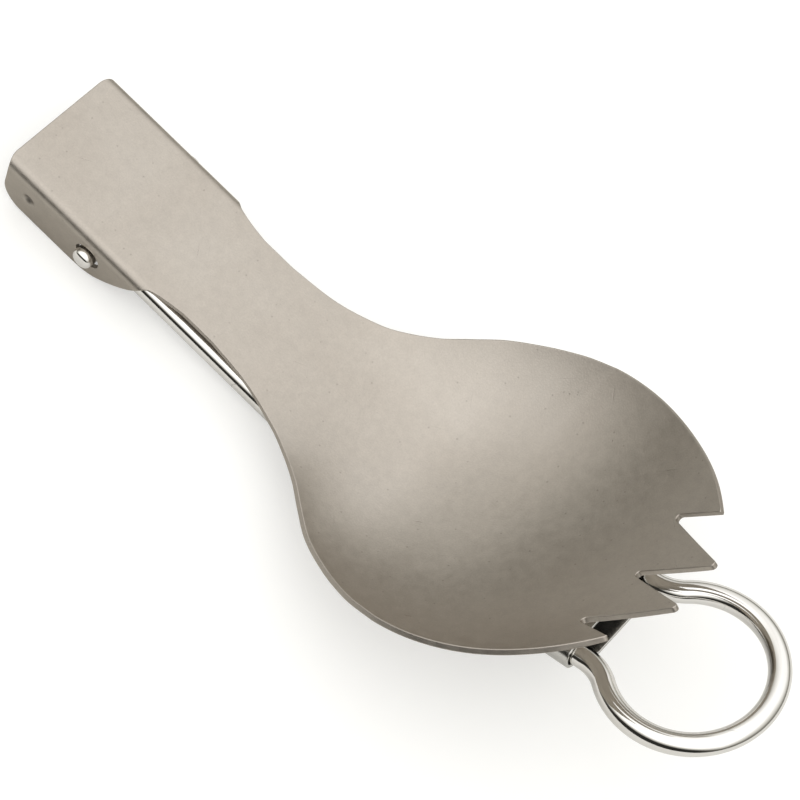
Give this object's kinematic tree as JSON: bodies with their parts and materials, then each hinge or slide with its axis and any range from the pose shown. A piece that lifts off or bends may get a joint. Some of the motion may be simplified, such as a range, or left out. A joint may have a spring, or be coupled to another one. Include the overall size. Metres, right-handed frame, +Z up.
{
  "type": "folding spoon",
  "caption": "Folding camping spork: a dished and tined sheet-metal head whose channel-shaped shank carries a hinged wire handle with a ring end and a sliding flat sleeve",
  "frame": {"origin": "middle of the folded spoon's box, on the table it lies on", "axes": "+X from the shank's end towards the tines and the ring, +Y across, +Z up out of the bowl"},
  "size_m": [0.1038, 0.0422, 0.0297],
  "materials": {
    "blasted_titanium": "fine bead-blasted titanium, warm light grey, matt",
    "polished_stainless": "bright polished stainless wire",
    "stainless_sheet": "plain rolled stainless sheet, half bright"
  },
  "bodies": {
    "head": {"head": "blasted_titanium"},
    "handle": {"wire_handle": "polished_stainless"},
    "sleeve": {"slider": "stainless_sheet"}
  },
  "joints": [
    {"name": "handle_hinge", "type": "hinge", "parent": "head", "child": "handle", "pos_m": [-0.03866, 0, 0.00362], "axis": [0, 1, 0], "range_deg": [0, 186]},
    {"name": "sleeve_slide", "type": "slide", "parent": "handle", "child": "sleeve", "axis": [0.9306, 0, 0.366], "range_m": [-0.016, 0]}
  ]
}
